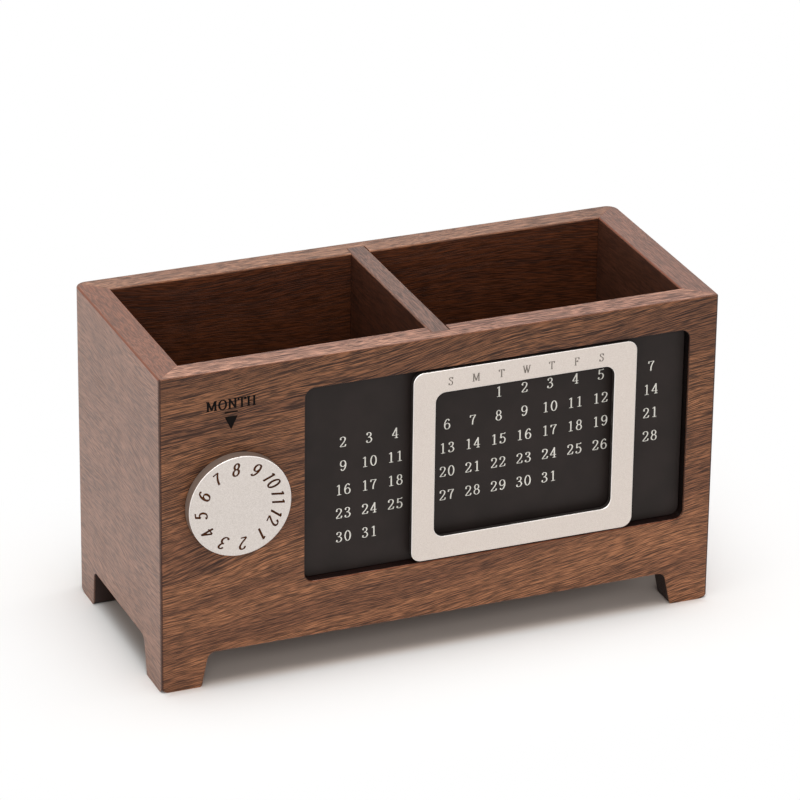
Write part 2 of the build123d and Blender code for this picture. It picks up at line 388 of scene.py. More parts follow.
def fine_grit(tree, inputs):
    """Fine blasted or sprayed grit: cells of a size, with a soft mottle over them."""
    scale = inputs["Per Millimetre"]
    place = node(tree, "VectorMath", {"operation": "SCALE"}, _0=inputs["Place"], Scale=scale)
    cells = grainy(tree, place.outputs[0], EVENLY, roughness=0.7)
    mottle = grainy(tree, inputs["Place"], MOTTLE_SCALE, detail=3.0)
    return {"Grit": cells, "Mottle": mottle}


EDGE_SAMPLES = 6

# a mask goes from 0 to 1 as a part of the normal goes from a pair's first value to its second
EDGE_TURN = (0.998, 0.93)
UPRIGHT_LIFT = (0.22, 0.06)
TOP_BELOW = (0.20, 0.40)
TOP_ABOVE = (0.985, 0.92)
UNDERSIDE_ABOVE = (-0.15, -0.35)
UNDERSIDE_BELOW = (-0.99, -0.93)
SIDEWAYS = (0.10, 0.30)
FORWARD = (-0.10, -0.30)


def rounded_edges(tree, inputs):
    """Masks of the edges, 0 on the flats.  The lit ones face up or lie level, and the dark ones are
    upright or face down.  Sharp edges come from the bevel, and round ones from their own normal."""
    plain = node(tree, "NewGeometry").outputs["Normal"]
    bevel = node(tree, "Bevel", {"samples": EDGE_SAMPLES}, Radius=inputs["Radius"]).outputs[0]
    facing = node(tree, "VectorMath", {"operation": "DOT_PRODUCT"}, _0=bevel, _1=plain)
    edge = between(tree, facing.outputs["Value"], *EDGE_TURN)
    lift = calc(tree, "ABSOLUTE", node(tree, "SeparateXYZ", Vector=bevel).outputs["Z"])
    upright = product(tree, edge, between(tree, lift, *UPRIGHT_LIFT))
    level = calc(tree, "SUBTRACT", edge, upright)

    x, y, z = node(tree, "SeparateXYZ", Vector=plain).outputs
    round_top = product(tree, between(tree, z, *TOP_BELOW), between(tree, z, *TOP_ABOVE))
    round_under = product(
        tree, between(tree, z, *UNDERSIDE_ABOVE), between(tree, z, *UNDERSIDE_BELOW),
    )
    sideways = between(tree, calc(tree, "ABSOLUTE", x), *SIDEWAYS)
    round_front = product(tree, sideways, between(tree, y, *FORWARD))
    return {
        "Lit Edge": greatest(tree, level, round_top),
        "Dark Edge": greatest(tree, upright, round_front, round_under),
    }


def inside_box(tree, place, box, softness):
    """1 in the box between two corners, 0 outside it."""
    sides = node(tree, "SeparateXYZ", Vector=past_box(tree, place, *box)).outputs
    return between(tree, greatest(tree, *sides), softness, 0.0)


def sheltered_wood(tree, inputs):
    """A tint for the wood: painted shade on the compartments' walls and on the cut faces under the
    arches, and a near-black tone on the walls of the plate's recess.  Lip is the strip along the
    recess's lower edge, whose level arris takes the painted edge light at full strength."""
    place = inputs["Place"]
    cavity = inside_box(tree, place, CAVITY, CAVITY_SOFTNESS)
    long_arches = inside_box(tree, place, LONG_ARCHES, ARCH_SOFTNESS)
    side_arches = inside_box(tree, place, SIDE_ARCHES, ARCH_SOFTNESS)
    recess = inside_box(tree, place, RECESS, RECESS_SOFTNESS)
    tint = blend_colours(tree, greatest(tree, long_arches, side_arches), WHITE, ARCH_PAINTED_SHADE)
    tint = blend_colours(tree, cavity, tint, CAVITY_PAINTED_SHADE)
    tint = blend_colours(tree, recess, tint, RECESS_TINT)
    lip = inside_box(tree, place, LIP, RECESS_SOFTNESS)
    return {"Tint": tint, "Inside": cavity, "Lip": lip}


def build_effects():
    return {
        "walnut": shared_effect(
            "walnut figure",
            [
                ("Board", "Vector", None),
                ("Light Wood", "Color", colour(146, 97, 66)),
                ("Mid Wood", "Color", colour(118, 76, 52)),
                ("Dark Wood", "Color", colour(76, 48, 37)),
                ("Pores", "Color", colour(38, 22, 20)),
                ("Boldness", "Float", 1.0),
                ("Fibre Contrast", "Float", 0.5),
            ],
            [("Colour", "Color"), ("Roughening", "Float"), ("Height", "Float")],
            walnut_figure,
        ),
        "grit": shared_effect(
            "fine grit",
            [("Place", "Vector", None), ("Per Millimetre", "Float", 5.0)],
            [("Grit", "Float"), ("Mottle", "Float")],
            fine_grit,
        ),
        "edges": shared_effect(
            "rounded edges",
            [("Radius", "Float", None)],
            [("Lit Edge", "Float"), ("Dark Edge", "Float")],
            rounded_edges,
        ),
        "shade_and_recess": shared_effect(
            "painted shade and dark recess",
            [("Place", "Vector", None)],
            [("Tint", "Color"), ("Inside", "Float"), ("Lip", "Float")],
            sheltered_wood,
        ),
    }


effects = build_effects()

# ---------------------------------------------------------------- materials


def new_material(name):
    """An empty material, its tree and its Principled shader."""
    material = bpy.data.materials.new(name)
    material.use_nodes = True
    tree = material.node_tree
    return material, tree, tree.nodes["Principled BSDF"]


def millimetres(tree):
    place = node(tree, "TexCoord").outputs["Object"]
    return vector_calc(tree, "MULTIPLY", place, (1 / MM, 1 / MM, 1 / MM))


def own_normal(tree):
    return node(tree, "SeparateXYZ", Vector=node(tree, "TexCoord").outputs["Normal"]).outputs


def raise_surface(tree, shader, height, depth):
    """Bump of a depth in metres, from a height of about 0 to 1."""
    bump = node(tree, "Bump", Strength=1.0, Distance=depth, Height=height)
    plug(tree, shader.inputs["Normal"], bump.outputs[0])


# how a board lies: the turns about X and Y that bring its place on the piece to its grain
ALONG_X_UPRIGHT = (math.radians(-90), 0.0)
ALONG_Y_UPRIGHT = (math.radians(-90), math.radians(90))
ALONG_X_FLAT = (0.0, 0.0)

# how far the figure stands out inside the compartments and on the top faces
INSIDE_BOLDNESS = 0.6
RIM_BOLDNESS = 0.7
RIM_FACES_UP = (0.6, 0.9)

# the top faces' tints, over the wood of each board: painted light, standing in for the light and
# sheen that fall on them from above
FRONT_RIM_LIGHT = (2.24, 2.80, 4.20, 1.0)
BACK_RIM_LIGHT = (1.08, 1.33, 1.85, 1.0)
LEFT_RIM_LIGHT = (0.71, 0.55, 0.48, 1.0)
RIGHT_RIM_LIGHT = (0.70, 0.62, 0.63, 1.0)
DIVIDER_RIM_LIGHT = (0.73, 0.79, 0.96, 1.0)

# the front is painted lighter towards the feet and darker towards the top, as painted light, and its
# figure is calmer at the feet
LOWER_EDGE_LIGHT = 0.93
UPPER_EDGE_LIGHT = 0.64
LOWER_EDGE_BOLDNESS = 0.72

EDGE_RADIUS = 0.35 * MM
# painted light: the saturated orange that rounded level edges show where they catch less white sheen
LIT_EDGE_PAINT = colour(122, 64, 37)
# the upright edges and those that face down: partly dark mitre joints, partly painted shade
JOINT_AND_EDGE_SHADE = colour(50, 28, 22)
JOINT_AND_EDGE_SHADE_STRENGTH = 0.8
OILED_ROUGHNESS = 0.38
GRAIN_DEPTH = 0.035 * MM


def sawn(tree, place, lie, tilt_degrees, cut_at):
    """A place on the piece, in the coordinates of the board that it was cut from."""
    turns = (*lie, math.radians(tilt_degrees))
    settings = {"vector_type": "POINT"}
    made = node(tree, "Mapping", settings, Vector=place, Location=cut_at, Rotation=turns)
    return made.outputs[0]


def walnut_board(
    name, lie, tilt_degrees, cut_at, tones=None, gloss=0.5, bold=1.0, fibre=0.5, arris=0.4,
    rim_light=WHITE, painted_foot_light=False,
):
    """Oiled walnut.  lie and the tilt turn the grain to the board, and cut_at is where it was sawn,
    in mm.  arris is the share of painted edge light on its level edges, and rim_light is the painted
    light on its top, where the grain runs without the tilt.  painted_foot_light makes it lighter
    towards the feet, as painted light, and calms its figure there."""
    material, tree, shader = new_material(name)
    place = millimetres(tree)
    height = node(tree, "SeparateXYZ", Vector=place).outputs["Z"]
    on_rim = between(tree, own_normal(tree)["Z"], *RIM_FACES_UP)
    leaning = sawn(tree, place, lie, tilt_degrees, cut_at)
    level = sawn(tree, place, lie, 0.0, cut_at)
    board = node(tree, "Mix", {"data_type": "VECTOR"}, _0=on_rim, _4=leaning, _5=level).outputs[1]
    shade_and_recess = place_effect(tree, effects["shade_and_recess"], Place=place)

    boldness = between(tree, shade_and_recess["Inside"], 0.0, 1.0, bold, INSIDE_BOLDNESS * bold)
    boldness = product(tree, boldness, between(tree, on_rim, 0.0, 1.0, 1.0, RIM_BOLDNESS))
    if painted_foot_light:
        calm = between(tree, height, *CASE_HEIGHT, LOWER_EDGE_BOLDNESS, 1.0)
        boldness = product(tree, boldness, calm)
    figure = place_effect(
        tree, effects["walnut"], Board=board, Boldness=boldness, Fibre_Contrast=fibre,
        **(tones or {}),
    )

    # painted light on the top faces
    wood = tinted(tree, figure["Colour"], blend_colours(tree, on_rim, WHITE, rim_light))
    # painted light: lighter towards the feet, darker towards the top
    if painted_foot_light:
        light = between(tree, height, *CASE_HEIGHT, LOWER_EDGE_LIGHT, UPPER_EDGE_LIGHT)
        wood = tinted(tree, wood, grey(tree, light))
    edges = place_effect(tree, effects["edges"], Radius=EDGE_RADIUS)
    # painted light on the lit rounded edges, at full strength along the recess's lower edge
    lit_edge_share = product(tree, edges["Lit Edge"], greatest(tree, shade_and_recess["Lip"], arris))
    # partly dark joints, partly painted shade on the upright and downward edges
    joint_and_shade = product(tree, edges["Dark Edge"], JOINT_AND_EDGE_SHADE_STRENGTH)
    wood = blend_colours(tree, lit_edge_share, wood, LIT_EDGE_PAINT)
    wood = blend_colours(tree, joint_and_shade, wood, JOINT_AND_EDGE_SHADE)
    # painted shade in the compartments and under the arches, and near-black recess walls
    wood = tinted(tree, wood, shade_and_recess["Tint"])
    plug(tree, shader.inputs["Base Color"], wood)
    rough = calc(tree, "ADD", figure["Roughening"], OILED_ROUGHNESS)
    plug(tree, shader.inputs["Roughness"], rough)
    shader.inputs["Specular IOR Level"].default_value = gloss
    raise_surface(tree, shader, figure["Height"], GRAIN_DEPTH)
    return material


# between which shares of its normal a metal piece's face turns into its edge, which gets a painted
# highlight, and its side
METAL_EDGE = (0.985, 0.88)
METAL_SIDE = (0.45, 0.12)
SIDE_METALLIC = 0.35
FACE_METALLIC = 0.85
SATIN_SPREAD = 0.04
EDGE_POLISH = 0.12
BLASTED_DEPTH = 0.006 * MM


def blasted_metal(name, face, shade, edge_light, side, per_millimetre, rough):
    """Metal with a bead-blasted satin face, a painted highlight on its rounded edges and darker
    sides."""
    material, tree, shader = new_material(name)
    place = millimetres(tree)
    grit = place_effect(tree, effects["grit"], Place=place, Per_Millimetre=per_millimetre)
    facing = calc(tree, "ABSOLUTE", own_normal(tree)["Y"])
    edge = between(tree, facing, *METAL_EDGE)
    tint = blend_colours(tree, between(tree, grit["Grit"], *NOISE_RANGE), shade, face)
    # painted highlight on the rounded edges
    tint = blend_colours(tree, edge, tint, edge_light)
    tint = blend_colours(tree, between(tree, facing, *METAL_SIDE), tint, side)
    plug(tree, shader.inputs["Base Color"], tint)
    metallic = between(tree, facing, METAL_SIDE[1], METAL_SIDE[0], SIDE_METALLIC, FACE_METALLIC)
    plug(tree, shader.inputs["Metallic"], metallic)
    satin = between(tree, grit["Mottle"], *NOISE_RANGE, rough - SATIN_SPREAD, rough + SATIN_SPREAD)
    polished = calc(tree, "SUBTRACT", satin, product(tree, edge, EDGE_POLISH))
    plug(tree, shader.inputs["Roughness"], polished)
    raise_surface(tree, shader, grit["Grit"], BLASTED_DEPTH)
    return material


TOOL_RING_SCALE = (0.6, 9.0, 0.6)
TOOL_RING_SHADE = 0.8
TOOL_RING_DEPTH = 0.01 * MM
TURNED_GRIT = 3.0
TURNED_SPREAD = (-0.05, 0.08)


def turned_metal(name, base, rough):
    """Small turned parts, with faint rings of the tool round the Y axis."""
    material, tree, shader = new_material(name)
    place = millimetres(tree)
    rings = grainy(tree, place, TOOL_RING_SCALE, detail=1.0)
    grit = place_effect(tree, effects["grit"], Place=place, Per_Millimetre=TURNED_GRIT)
    shade = [part * TOOL_RING_SHADE for part in base[:3]] + [1.0]
    tint = blend_colours(tree, between(tree, rings, *NOISE_RANGE), shade, base)
    plug(tree, shader.inputs["Base Color"], tint)
    shader.inputs["Metallic"].default_value = 1.0
    smooth, dull = (rough + part for part in TURNED_SPREAD)
    plug(tree, shader.inputs["Roughness"], between(tree, grit["Mottle"], *NOISE_RANGE, smooth, dull))
    raise_surface(tree, shader, rings, TOOL_RING_DEPTH)
    return material


MATT_SPREAD = 0.06


def matt_coating(name, base, lifted, rough, per_millimetre, depth, gloss):
    """Paint, ink, film, rubber magnet and pressed felt: a matt skin of one tone and fine grit."""
    material, tree, shader = new_material(name)
    place = millimetres(tree)
    grit = place_effect(tree, effects["grit"], Place=place, Per_Millimetre=per_millimetre)
    tone = blend_colours(tree, between(tree, grit["Mottle"], *NOISE_RANGE), base, lifted)
    plug(tree, shader.inputs["Base Color"], tone)
    matt = between(tree, grit["Grit"], *NOISE_RANGE, rough - MATT_SPREAD, rough + MATT_SPREAD)
    plug(tree, shader.inputs["Roughness"], matt)
    shader.inputs["Specular IOR Level"].default_value = gloss
    raise_surface(tree, shader, grit["Grit"], depth * MM)
    return material


# paler, greyer wood tones for the side boards: painted sheen, standing in for the soft reflection over
# the left side
PAINTED_SHEEN_SIDE = {
    "Light_Wood": colour(141, 104, 86), "Mid_Wood": colour(133, 98, 81),
    "Dark_Wood": colour(112, 81, 68), "Pores": colour(97, 70, 60),
}

SHADED = {
    "Light_Wood": colour(124, 86, 66), "Mid_Wood": colour(102, 68, 52),
    "Dark_Wood": colour(68, 44, 35), "Pores": colour(40, 25, 22),
}

BOARDS = {
    "front_walnut": {
        "lie": ALONG_X_UPRIGHT, "tilt_degrees": -8.0, "cut_at": (40.0, 12.0, 3.0),
        "gloss": 0.25, "fibre": 0.6, "arris": 0.2, "rim_light": FRONT_RIM_LIGHT, "painted_foot_light": True,
    },
    "back_walnut": {
        "lie": ALONG_X_UPRIGHT, "tilt_degrees": 2.0, "cut_at": (350.0, 60.0, 20.0),
        "gloss": 0.3, "bold": 0.85, "arris": 0.2, "rim_light": BACK_RIM_LIGHT,
    },
    "left_walnut": {
        "lie": ALONG_Y_UPRIGHT, "tilt_degrees": 2.0, "cut_at": (610.0, 33.0, 47.0),
        "tones": PAINTED_SHEEN_SIDE, "bold": 0.34, "fibre": 0.42, "arris": 1.0, "rim_light": LEFT_RIM_LIGHT,
    },
    "right_walnut": {
        "lie": ALONG_Y_UPRIGHT, "tilt_degrees": -3.0, "cut_at": (900.0, 81.0, 9.0),
        "tones": PAINTED_SHEEN_SIDE, "bold": 0.45, "fibre": 0.42, "arris": 1.0, "rim_light": RIGHT_RIM_LIGHT,
    },
    "divider_walnut": {
        "lie": ALONG_Y_UPRIGHT, "tilt_degrees": 1.0, "cut_at": (1200.0, 7.0, 70.0),
        "tones": SHADED, "bold": 0.45, "arris": 0.2, "rim_light": DIVIDER_RIM_LIGHT,
    },
    "floor_walnut": {
        "lie": ALONG_X_FLAT, "tilt_degrees": 2.0, "cut_at": (1500.0, 44.0, 31.0), "gloss": 0.3,
    },
}

# face, shade between the grit, painted highlight on the rounded edge, sides, cells of grit per mm,
# and roughness
BLASTED_METALS = {
    "frame_metal": (
        colour(222, 212, 204), colour(207, 195, 186), colour(246, 241, 236), colour(62, 57, 54),
        5.0, 0.44,
    ),
    "dial_metal": (
        colour(220, 212, 206), colour(203, 194, 187), colour(238, 233, 229), colour(140, 124, 113),
        4.0, 0.46,
    ),
}

# colour and roughness
TURNED_METALS = {
    "steel": (colour(190, 190, 188), 0.32),
    "brass": (colour(206, 176, 110), 0.28),
}

# tone, lifted tone, roughness, cells of grit per mm, height of the grit in mm, and gloss
COATINGS = {
    "plate_paint": (colour(37, 31, 29), colour(42, 35, 33), 0.42, 6.0, 0.004, 0.15),
    "plate_ink": (colour(206, 203, 195), colour(222, 219, 211), 0.6, 9.0, 0.004, 0.3),
    "label_ink": (colour(10, 8, 7), colour(18, 13, 11), 0.6, 9.0, 0.006, 0.05),
    "weekday_fill": (colour(112, 104, 97), colour(130, 121, 113), 0.6, 9.0, 0.004, 0.3),
    "month_fill": (colour(54, 25, 8), colour(74, 38, 14), 0.6, 5.0, 0.008, 0.1),
    "adhesive": (colour(28, 28, 28), colour(36, 36, 36), 0.7, 3.0, 0.01, 0.3),
    "magnet": (colour(22, 20, 19), colour(30, 27, 26), 0.65, 4.0, 0.01, 0.15),
    "glide_film": (colour(26, 25, 24), colour(34, 32, 31), 0.5, 2.0, 0.003, 0.2),
    "felt": (colour(52, 42, 37), colour(70, 57, 50), 0.95, 2.5, 0.05, 0.1),
}


def build_materials():
    made = {name: walnut_board(name, **values) for name, values in BOARDS.items()}
    made.update((name, blasted_metal(name, *values)) for name, values in BLASTED_METALS.items())
    made.update((name, turned_metal(name, *values)) for name, values in TURNED_METALS.items())
    made.update((name, matt_coating(name, *values)) for name, values in COATINGS.items())
    return made


materials = build_materials()

FINISH = {
    "front_panel": "front_walnut",
    "back_panel": "back_walnut",
    "left_side_panel": "left_walnut",
    "right_side_panel": "right_walnut",
    "divider_panel": "divider_walnut",
    "floor_panel": "floor_walnut",
    "date_plate": "plate_paint",
    "plate_adhesive": "adhesive",
    "slider_frame": "frame_metal",
    "slider_magnet_left": "magnet",
    "slider_magnet_right": "magnet",
    "slider_magnet_top": "magnet",
    "slider_magnet_bottom": "magnet",
    "slider_glide_film": "glide_film",
    "month_dial": "dial_metal",
    "dial_spindle": "steel",
    "dial_felt": "felt",
    "dial_bush": "brass",
    "spring_washer": "steel",
    "lock_nut": "steel",
}


def finish_nodes():
    for name, finish in FINISH.items():
        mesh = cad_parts[name].data
        mesh.materials.clear()
        mesh.materials.append(materials[finish])


# ---------------------------------------------------------------- lettering
# Every letter and figure is drawn with a broad pen, whose width follows the stroke's direction.
# One has its advance, its strokes, its serifs and its balls.  One unit is the height of a capital,
# and the baseline is 0.

PEN_THICK = 0.15
PEN_THIN = 0.065
PEN_TURN = 1.6
CURVE_STEPS = 7
OVAL_STEPS = 28
BALL_STEPS = 14

# how near two points of a drawing have to be to be one, and the area of a patch that is left out
CLOSED_GAP = 1e-6
JOINED_GAP = 1e-5
SMALLEST_PATCH = 1e-7

# the net's triangles inside the patches, as delaunay_2d_cdt numbers its results
INSIDE_TRIANGLES = 1


def line(*points):
    return [Vector(p) for p in points]


def curve(*points):
    """A smooth stroke through the points."""
    spots = [Vector(p) for p in points]
    ends = [2 * spots[0] - spots[1], *spots, 2 * spots[-1] - spots[-2]]
    path = []
    for before, start, stop, after in zip(ends, ends[1:], ends[2:], ends[3:]):
        for step in range(CURVE_STEPS):
            t = step / CURVE_STEPS
            path.append(0.5 * (
                2 * start + (stop - before) * t
                + (2 * before - 5 * start + 4 * stop - after) * t ** 2
                + (3 * start - before - 3 * stop + after) * t ** 3
            ))
    return path + [spots[-1]]


def oval(x, y, half_wide, half_high, steps=OVAL_STEPS):
    turns = [2 * math.pi * step / steps for step in range(steps + 1)]
    return [Vector((x + half_wide * math.cos(t), y + half_high * math.sin(t))) for t in turns]


def foot(x, y, half_wide=0.14):
    """A serif across the end of a stem."""
    return line((x - half_wide, y), (x + half_wide, y))


SIX = [
    curve((0.45, 0.86), (0.34, 0.965), (0.20, 0.87), (0.10, 0.64), (0.075, 0.36), (0.14, 0.10),
          (0.29, 0.02), (0.44, 0.10), (0.495, 0.31), (0.43, 0.51), (0.29, 0.58), (0.16, 0.51),
          (0.09, 0.38)),
]
GLYPHS = {
    "0": (0.58, [oval(0.29, 0.5, 0.215, 0.475)], [], []),
    "1": (0.58, [
        line((0.31, 0.0), (0.31, 0.985)), line((0.31, 0.955), (0.14, 0.85)),
    ], [foot(0.31, 0.03, 0.17)], []),
    "2": (0.58, [
        curve((0.085, 0.76), (0.13, 0.91), (0.28, 0.97), (0.43, 0.89), (0.47, 0.72), (0.38, 0.50),
              (0.20, 0.26), (0.06, 0.07)),
        line((0.06, 0.055), (0.49, 0.055)),
    ], [line((0.45, 0.04), (0.52, 0.24))], [(0.11, 0.76, 0.065)]),
    "3": (0.58, [
        curve((0.10, 0.82), (0.16, 0.93), (0.29, 0.97), (0.41, 0.89), (0.43, 0.74), (0.35, 0.59),
              (0.20, 0.535)),
        curve((0.20, 0.535), (0.38, 0.49), (0.485, 0.29), (0.40, 0.08), (0.24, 0.025),
              (0.11, 0.08), (0.08, 0.18)),
    ], [], [(0.13, 0.80, 0.06), (0.11, 0.19, 0.065)]),
    "4": (0.58, [
        line((0.39, 0.97), (0.05, 0.30)), line((0.04, 0.285), (0.54, 0.285)),
        line((0.38, 0.985), (0.38, 0.0)),
    ], [foot(0.38, 0.03, 0.14)], []),
    "5": (0.58, [
        line((0.16, 0.96), (0.13, 0.53)), line((0.16, 0.92), (0.47, 0.92)),
        curve((0.13, 0.53), (0.27, 0.61), (0.42, 0.53), (0.485, 0.32), (0.41, 0.09), (0.25, 0.025),
              (0.11, 0.07), (0.08, 0.17)),
    ], [line((0.44, 0.91), (0.50, 0.99))], [(0.11, 0.18, 0.06)]),
    "6": (0.58, SIX, [], [(0.43, 0.85, 0.06)]),
    "7": (0.58, [
        line((0.08, 0.92), (0.51, 0.92)), curve((0.50, 0.92), (0.36, 0.66), (0.27, 0.36), (0.25, 0.03)),
    ], [line((0.09, 0.95), (0.06, 0.74))], []),
    "8": (0.58, [oval(0.29, 0.745, 0.165, 0.225), oval(0.29, 0.27, 0.205, 0.25)], [], []),
    "9": (0.58, [
        [Vector((0.58, 1.0)) - spot for spot in stroke] for stroke in SIX
    ], [], [(0.15, 0.15, 0.06)]),
    "S": (0.60, [
        curve((0.49, 0.78), (0.41, 0.92), (0.28, 0.97), (0.13, 0.88), (0.13, 0.72), (0.29, 0.56),
              (0.45, 0.42), (0.49, 0.23), (0.41, 0.07), (0.27, 0.025), (0.13, 0.09), (0.07, 0.25)),
    ], [line((0.50, 0.98), (0.50, 0.73)), line((0.07, 0.02), (0.07, 0.29))], []),
    "M": (0.98, [
        line((0.16, 0.0), (0.16, 0.98)), line((0.18, 0.98), (0.48, 0.08)),
        line((0.48, 0.08), (0.78, 0.98)), line((0.81, 0.0), (0.81, 0.98)),
    ], [foot(0.15, 0.03), foot(0.81, 0.03), foot(0.10, 0.965, 0.09), foot(0.86, 0.965, 0.09)], []),
    "T": (0.70, [
        line((0.35, 0.0), (0.35, 0.95)), line((0.05, 0.955), (0.65, 0.955)),
    ], [line((0.055, 0.98), (0.05, 0.74)), line((0.645, 0.98), (0.65, 0.74)), foot(0.35, 0.03)], []),
    "W": (1.02, [
        line((0.11, 0.97), (0.32, 0.04)), line((0.32, 0.04), (0.51, 0.90)),
        line((0.47, 0.97), (0.68, 0.04)), line((0.68, 0.04), (0.90, 0.97)),
    ], [foot(0.10, 0.965, 0.11), foot(0.50, 0.965, 0.11), foot(0.91, 0.965, 0.09)], []),
    "F": (0.64, [
        line((0.17, 0.0), (0.17, 0.98)), line((0.06, 0.955), (0.57, 0.955)),
        line((0.17, 0.51), (0.42, 0.51)),
    ], [line((0.565, 0.98), (0.58, 0.72)), line((0.42, 0.62), (0.42, 0.40)), foot(0.17, 0.03)], []),
    "O": (0.78, [oval(0.39, 0.49, 0.30, 0.475)], [], []),
    "N": (0.80, [
        line((0.16, 0.0), (0.16, 0.98)), line((0.14, 0.98), (0.65, 0.03)),
        line((0.65, 0.0), (0.65, 0.98)),
    ], [foot(0.16, 0.03), foot(0.09, 0.965, 0.08), foot(0.65, 0.965)], []),
    "H": (0.82, [
        line((0.17, 0.0), (0.17, 0.98)), line((0.65, 0.0), (0.65, 0.98)),
        line((0.17, 0.50), (0.65, 0.50)),
    ], [foot(0.17, 0.03), foot(0.65, 0.03), foot(0.17, 0.965), foot(0.65, 0.965)], []),
}


def pen_width(direction, weight, evenness):
    upright = abs(direction.normalized().y) ** PEN_TURN
    return weight * (PEN_THIN + (PEN_THICK - PEN_THIN) * (evenness + (1 - evenness) * upright))


def stroke_patches(path, weight, evenness):
    """The pen's track along a stroke, as triangles."""
    closed = (path[0] - path[-1]).length < CLOSED_GAP
    rims = []
    for index, spot in enumerate(path):
        before = path[index - 1] if index else (path[-2] if closed else spot)
        after = path[index + 1] if index + 1 < len(path) else (path[1] if closed else spot)
        direction = after - before
        sideways = Vector((-direction.y, direction.x)).normalized()
        across = sideways * pen_width(direction, weight, evenness) / 2
        rims.append((spot - across, spot + across))
    spans = list(zip(rims, rims[1:]))
    return [[a[0], b[0], b[1]] for a, b in spans] + [[a[0], b[1], a[1]] for a, b in spans]


def ball_patch(x, y, radius):
    return oval(x, y, radius, radius, BALL_STEPS)[:-1]


def signed_area(patch):
    return sum(a.cross(b) for a, b in zip(patch, patch[1:] + patch[:1])) / 2


def merge_patches(patches):
    """One flat net of triangles that covers all the patches."""
    points, faces = [], []
    for patch in patches:
        if abs(signed_area(patch)) < SMALLEST_PATCH:
            continue
        patch = patch if signed_area(patch) > 0 else patch[::-1]
        faces.append(list(range(len(points), len(points) + len(patch))))
        points.extend(patch)
    net = delaunay_2d_cdt(points, [], faces, INSIDE_TRIANGLES, JOINED_GAP)
    spots, _, triangles, _, _, sources = net
    return spots, [t for t, source in zip(triangles, sources) if source]


drawn_glyphs = {}


def drawn_glyph(letter, weight, evenness, plain):
    """A letter as a flat net.  A plain one leaves out the serifs and the balls."""
    key = (letter, weight, evenness, plain)
    if key not in drawn_glyphs:
        _, strokes, serifs, balls = GLYPHS[letter]
        drawn = strokes if plain else strokes + serifs
        patches = [patch for stroke in drawn for patch in stroke_patches(stroke, weight, evenness)]
        patches += [] if plain else [ball_patch(*ball) for ball in balls]
        drawn_glyphs[key] = merge_patches(patches)
    return drawn_glyphs[key]


def word_width(word, spacing):
    return sum(GLYPHS[letter][0] for letter in word) + spacing * (len(word) - 1)


def facing_matrix(x, y, z, turn=0.0):
    """Puts a flat drawing upright at a point, facing the front, turned clockwise by an angle."""
    upright = Matrix.Rotation(math.radians(90), 4, "X")
    return Matrix.Translation((x, y, z)) @ upright @ Matrix.Rotation(-turn, 4, "Z")


def set_word(
    mesh, word, matrix, height, spacing, weight=1.0, evenness=0.0, slant=0.0, widening=1.0,
    plain=False,
):
    """Adds a word to a mesh, centred on the matrix's origin."""
    x = -word_width(word, spacing) / 2
    for letter in word:
        spots, triangles = drawn_glyph(letter, weight, evenness, plain)
        corners = []
        for spot in spots:
            up = spot.y - 0.5
            across = widening * (x + spot.x) + slant * up
            corners.append(mesh.verts.new(matrix @ Vector((height * across, height * up, 0.0))))
        for triangle in triangles:
            mesh.faces.new([corners[index] for index in triangle])
        x += GLYPHS[letter][0] + spacing


def set_patch(mesh, matrix, corners):
    mesh.faces.new([mesh.verts.new(matrix @ Vector((x, y, 0.0))) for x, y in corners])


def thicken(mesh, out, back):
    """Turns flat drawings that face the front into closed solids, from out in front to back behind."""
    for vert in mesh.verts:
        vert.co.y += back
    made = bmesh.ops.extrude_face_region(mesh, geom=mesh.faces[:])["geom"]
    moved = [item for item in made if isinstance(item, bmesh.types.BMVert)]
    bmesh.ops.translate(mesh, verts=moved, vec=(0.0, -(out + back), 0.0))
    bmesh.ops.recalc_face_normals(mesh, faces=mesh.faces[:])


def object_from(mesh, name, material):
    data = bpy.data.meshes.new(name)
    mesh.to_mesh(data)
    mesh.free()
    data.materials.append(material)
    made = bpy.data.objects.new(name, data)
    bpy.context.scene.collection.objects.link(made)
    return made


# ---------------------------------------------------------------- marks on the pieces


def date_at(column, row):
    """The date printed there, or None: each row starts a week later."""
    date = DAYS_IN_WEEK * row + column - FIRST_DATE_COLUMN + 1
    return date if 1 <= date <= LAST_DATE else None


def printed_dates():
    low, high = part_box("date_plate")
    middle_x = (low.x + high.x) / 2 + DATES_RIGHT_OF_MIDDLE
    sheet = facing_matrix(middle_x, low.y, high.z - TOP_ROW_BELOW_PLATE_TOP, DATES_ASKEW)
    mesh = bmesh.new()
    for row in range(DATE_ROWS):
        for column in range(1, DATE_COLUMNS + 1):
            date = date_at(column, row)
            if date is None:
                continue
            across = (column - FIRST_DATE_COLUMN) * DATE_PITCH
            place = sheet @ Matrix.Translation((across, -row * ROW_PITCH, 0.0))
            set_word(
                mesh, str(date), place, DATE_HEIGHT, DATE_SPACING,
                weight=DATE_WEIGHT, widening=DATE_WIDENING,
            )
    thicken(mesh, INK_THICKNESS, INK_SUNK)
    dates = object_from(mesh, "printed_dates", materials["plate_ink"])
    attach(dates, "case")


